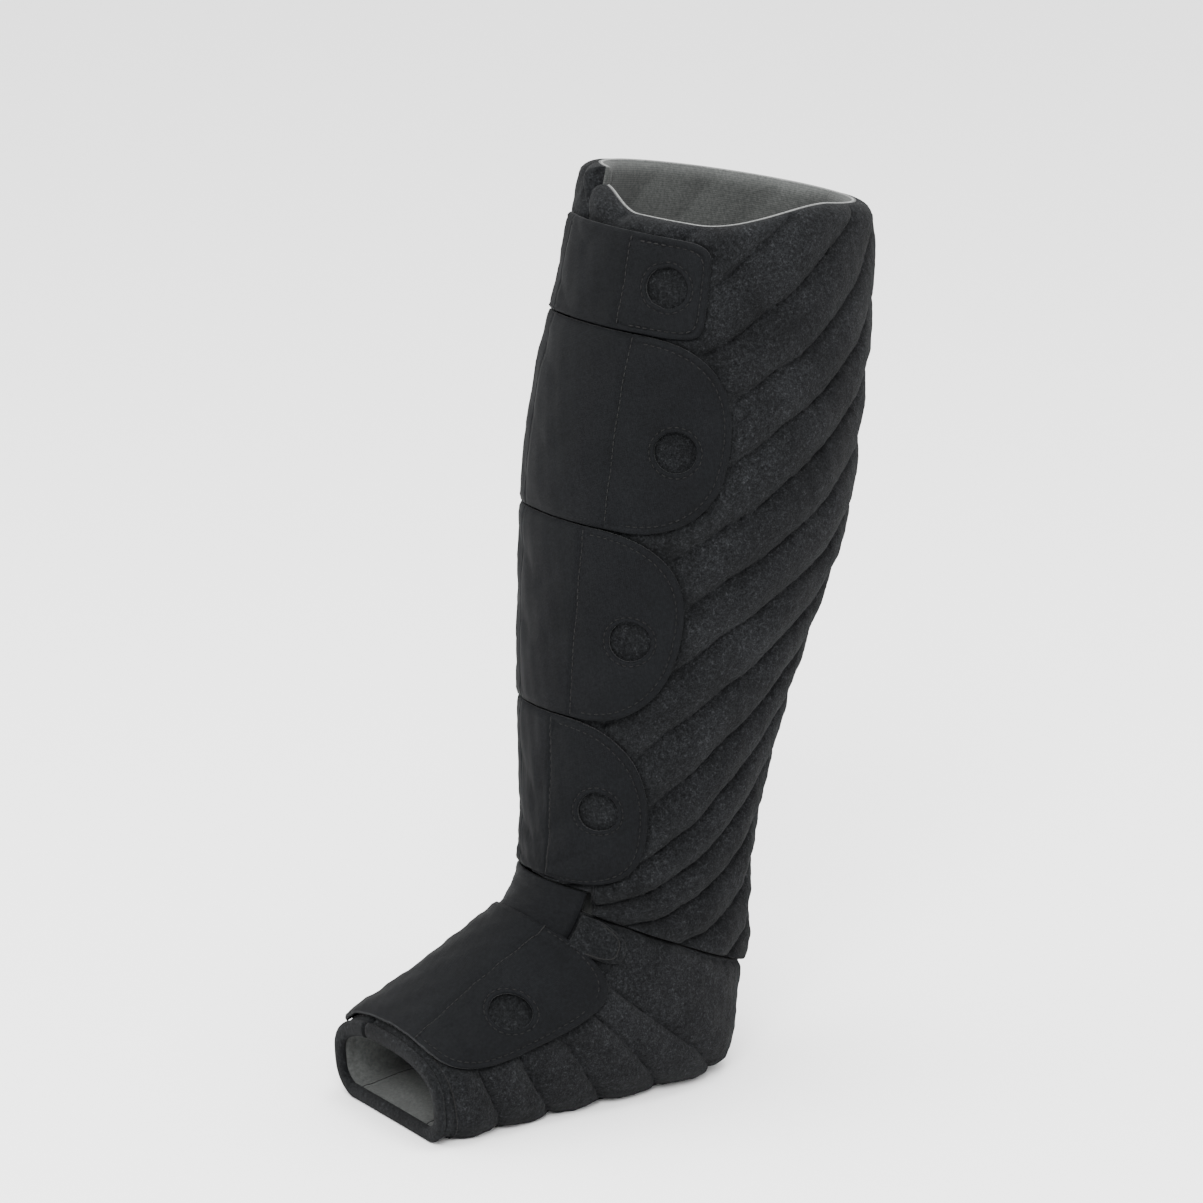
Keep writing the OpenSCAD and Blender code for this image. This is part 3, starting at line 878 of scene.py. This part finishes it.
TAB_MIDDLE = 8.46
TAB_T0, TAB_T1, TAB_ROOT = 7.91, 9.02, 38
ankle_patch = flat_patch("ankle_tab_cloth", TAB_T0, TAB_T1, steady(TAB_ROOT), tab_bulge, 2.0,
                         4.3, brushed_hem, rows=60)
laid_sheet(ankle_patch, "wall")
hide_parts("ankle_tab")

# a strip of lining bridges the crease inside, behind the tongue
GUSSET_T0, GUSSET_T1, GUSSET_REACH = 6.85, 8.6, 62
gusset = flat_patch("crease_gusset", GUSSET_T0, GUSSET_T1, steady(-GUSSET_REACH),
                    steady(GUSSET_REACH), -14.2, -13.2, lining_knit, rows=40)
laid_sheet(gusset, "wall")

FLAP_T0, FLAP_T1, FLAP_LOW, FLAP_HIGH = 0.34, 7.0, -38, -2
flap = flat_patch("inner_flap", FLAP_T0, FLAP_T1, steady(FLAP_LOW), steady(FLAP_HIGH), -13.6,
                  -12.6, lining_knit, rows=90)
laid_sheet(flap, "panel_medial")
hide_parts("medial_underlap")
print("sheets", len(STRAPS), "straps and", [p.name for p in (tongue, ankle_patch, gusset, flap)])

# %% [markdown]
# A narrow hem finishes the toe opening, and a pale cord of lining edges the rim at the knee.
# Both are tubes that follow the wall's edge.

# %% Toe hem and knee edging
def edge_tube(name, stations, angles, offsets, radius, material, around=10):
    """A tube whose centre runs through the given places; radius may be (across, along)."""
    centre = skin(stations, angles, offsets)
    ahead = np.gradient(centre, axis=0)
    ahead /= np.linalg.norm(ahead, axis=1)[:, None]
    outward = skin(stations, angles, offsets + 5.0) - centre
    outward -= ahead * (outward * ahead).sum(1)[:, None]
    outward /= np.linalg.norm(outward, axis=1)[:, None]
    side = np.cross(ahead, outward)
    wide, tall = radius
    turn = np.linspace(0, 2 * math.pi, around, endpoint=False)
    ring = (centre[:, None] + wide * np.cos(turn)[None, :, None] * outward[:, None]
            + tall * np.sin(turn)[None, :, None] * side[:, None])
    points = ring.reshape(-1, 3)
    n = len(centre)
    faces = [[i * around + j, i * around + (j + 1) % around,
              (i + 1) * around + (j + 1) % around, (i + 1) * around + j]
             for i in range(n - 1) for j in range(around)]
    faces += [list(range(around)), [(n - 1) * around + j for j in range(around)]]
    flat = np.stack([np.repeat(np.arange(n) * 2.0, around),
                     np.tile(turn * 2.0, n)], -1)
    return make_mesh(name, points, faces, [material], None, flat)


HEM_POINTS, EDGING_POINTS = 240, 120
hem_angles = np.linspace(-20, 336, HEM_POINTS)
toe_hem = edge_tube("toe_hem", np.full(HEM_POINTS, FOOT_TOE), hem_angles,
                    np.full(HEM_POINTS, -3.6), (3.9, 2.2), brushed_hem, 16)
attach(toe_hem, "wall")
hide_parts("toe_binding")

EDGING_SINK, EDGING_OFF, EDGING_RADIUS = 0.006, -8.4, (0.6, 0.6)
medial_angles = np.linspace(-8.5, 180, EDGING_POINTS)
lateral_angles = np.linspace(-180, -12.5, EDGING_POINTS)
for name, body, side, stations, angles in (
        ("knee_edging_medial", "panel_medial", 1, top_edge(medial_angles), medial_angles),
        ("knee_edging_lateral", "panel_lateral", -1, np.zeros(EDGING_POINTS), lateral_angles)):
    edging = edge_tube(name, stations + EDGING_SINK, angles, np.full(EDGING_POINTS, EDGING_OFF),
                       EDGING_RADIUS, piping_knit)
    across_fold(edging)
print("toe hem and knee edging", HEM_POINTS + 2 * EDGING_POINTS, "places along them")

# %% [markdown]
# Real stitches show at this size. Each is a short rounded bar of thread laid in its groove:
# along the cut edge of each tab, in a ring round the finger hole, and down the sewn line.

# %% Stitching
SIDES = 6               # sides of a thread bar
STITCH = 2.3            # length of one stitch, in millimetres
STEP = 3.2              # and from one stitch to the next
FROM_EDGE, ROUND_HOLE = 3.2, 2.2    # millimetres from the cut edge, and from the hole


def stitch_row(name, centres, directions, normals, length, radius):
    """One mesh of small thread bars."""
    points, faces = [], []
    for centre, ahead, up in zip(centres, directions, normals):
        ahead = ahead / np.linalg.norm(ahead)
        up = up - ahead * (up @ ahead)
        up = up / np.linalg.norm(up)
        side = np.cross(ahead, up)
        start = len(points)
        for along, grow in ((-0.5, 0.35), (-0.3, 1.0), (0.3, 1.0), (0.5, 0.35)):
            for corner in range(SIDES):
                a = 2 * math.pi * corner / SIDES
                points.append(centre + ahead * along * length
                              + radius * grow * (math.cos(a) * side + 0.8 * math.sin(a) * up))
        for k in range(3):
            for c in range(SIDES):
                a, b = start + k * SIDES + c, start + k * SIDES + (c + 1) % SIDES
                faces.append([a, b, b + SIDES, a + SIDES])
        faces.append([start + c for c in range(SIDES)][::-1])
        faces.append([start + 3 * SIDES + c for c in range(SIDES)])
    return make_mesh(name, points, faces, [thread], weld=False)


def along_line(strap, t, u):
    """Centres, directions and normals for stitches through a row of places on a strap."""
    top, _ = strap_offsets(strap, t, u)
    centres = skin(t, u, top + 0.12)
    directions = np.gradient(centres, axis=0)
    normals = skin(t, u, top + 5.0) - centres
    return centres, directions, normals


def join_rows(rows):
    return tuple(np.concatenate([row[k] for row in rows]) for k in range(3))


for number, strap in enumerate(STRAPS, 1):
    per_t, per_u = local_scale(strap)
    edge_t, edge_u = even_outline(strap, FROM_EDGE, STEP + 0.2)
    turn = np.linspace(0, 2 * math.pi, 23, endpoint=False)
    ring_t = strap["hole"][0] + (HOLE_R + ROUND_HOLE) * np.sin(turn) / per_t
    ring_u = strap["hole"][1] + (HOLE_R + ROUND_HOLE) * np.cos(turn) / per_u
    line_t = np.arange(strap["t0"] + 0.05, strap["t1"] - 0.04, STEP / per_t)
    line_u = np.full(len(line_t), strap["seam"] + 0.7)
    rows = [along_line(strap, *place) for place in
            ((edge_t, edge_u), (ring_t, ring_u), (line_t, line_u))]
    stitches = stitch_row(f"strap_{number}_stitches", *join_rows(rows), STITCH, 0.34)
    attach(stitches, f"tab_{number}")
    print("stitches on strap", number, sum(len(row[0]) for row in rows))

# %% [markdown]
# The same bars sew down the strap roots, the ankle tab and the hem at the toes.

# %% Stitching on the body
def plain_stitches(name, body, t, u, off):
    """Stitches that follow a line of places at one height above the skin."""
    centres = skin(t, u, off)
    normals = skin(t, u, off + 5.0) - centres
    piece = stitch_row(name, centres, np.gradient(centres, axis=0), normals, STITCH, 0.36)
    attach(piece, body)


for number, strap in enumerate(STRAPS, 1):
    per_t, per_u = local_scale(strap)
    t = np.arange(strap["t0"] + 0.06, strap["t1"] - 0.05, 3.3 / per_t)
    u = np.full(len(t), strap["root"] + 2.6 / per_u)
    height = STRAP_TOP - 0.9 + 0.54 * (pillow(t, u) - 0.7) + 0.5 * puckers(t, u)
    plain_stitches(f"strap_{number}_root_stitches", "panel_lateral" if number < 5 else "wall",
                   t, u, height)

turn = np.linspace(0.12, math.pi - 0.12, 24)
tab_t = TAB_MIDDLE + 0.005 - 0.49 * np.cos(turn)
tab_u = tab_bulge(tab_t) - 3.4
plain_stitches("ankle_tab_stitches", "wall", tab_t, tab_u,
               4.35 + 0.4 * puckers(tab_t, tab_u))
hem_u = np.arange(-18, 334, 4.2)
hem_t = np.full(len(hem_u), FOOT_TOE - 0.23)
plain_stitches("toe_hem_stitches", "wall", hem_t, hem_u,
               np.full(len(hem_u), -0.35))
print("stitches on the hem", len(hem_u), "and on the ankle tab", len(tab_t))

# %% [markdown]
# A pale floor and soft light from above and both sides show dark cloth best. The camera looks
# from the inner side and a little from above, with a long lens.

# %% Floor, light and camera
FRAME_STEPS = 1203      # steps across the square frame
VIEW_TURN, VIEW_RISE, VIEW_DISTANCE = 57.0, 15.7, 2.6
SCALE_MM = 0.47         # millimetres that one step of the frame covers at the object


def plain_material(name, colour, roughness):
    material, nodes, links, shader = new_material(name)
    shader.inputs["Base Color"].default_value = (*colour, 1)
    shader.inputs["Roughness"].default_value = roughness
    return material


FLOOR_HALF, FLOOR_LOW = 4000, -0.3  # millimetres
corners = [(x * FLOOR_HALF, y * FLOOR_HALF, FLOOR_LOW)
           for x, y in ((-1, -1), (1, -1), (1, 1), (-1, 1))]
floor = make_mesh("floor", corners, [[0, 1, 2, 3]],
                  [plain_material("pale_floor", (0.9, 0.9, 0.9), 0.9)], weld=False)

world = bpy.data.worlds.new("studio")
bpy.context.scene.world = world
world.use_nodes = True
world.node_tree.nodes["Background"].inputs["Color"].default_value = (1, 1, 1, 1)
world.node_tree.nodes["Background"].inputs["Strength"].default_value = 2.4


def area_light(name, place, size, power, aim=(0, 0, 0.2)):
    light = bpy.data.lights.new(name, "AREA")
    light.size = size
    light.energy = power
    lamp = bpy.data.objects.new(name, light)
    bpy.context.collection.objects.link(lamp)
    lamp.location = place
    lamp.rotation_euler = (Vector(aim) - Vector(place)).to_track_quat("-Z", "Y").to_euler()


area_light("key", (1.6, -1.2, 1.9), 1.0, 95)
area_light("fill", (-1.2, -2.0, 1.2), 1.6, 30)
area_light("top", (0.2, 0.3, 2.4), 1.2, 60)

target = Vector((0, 0, 0.215))
turn, rise = math.radians(VIEW_TURN), math.radians(VIEW_RISE)
outward = Vector((math.sin(turn) * math.cos(rise), -math.cos(turn) * math.cos(rise),
                  math.sin(rise)))
camera_data = bpy.data.cameras.new("camera")
camera = bpy.data.objects.new("camera", camera_data)
bpy.context.collection.objects.link(camera)
camera.location = target + outward * VIEW_DISTANCE
camera.rotation_euler = (-outward).to_track_quat("-Z", "Y").to_euler()
camera_data.sensor_width = 36.0
camera_data.lens = 36.0 * VIEW_DISTANCE / (SCALE_MM * MM * FRAME_STEPS)
camera_data.shift_x = -38.5 / FRAME_STEPS
camera_data.shift_y = 31.0 / FRAME_STEPS
camera_data.clip_end = 50
bpy.context.scene.camera = camera
print("lens", round(camera_data.lens, 1), "mm")
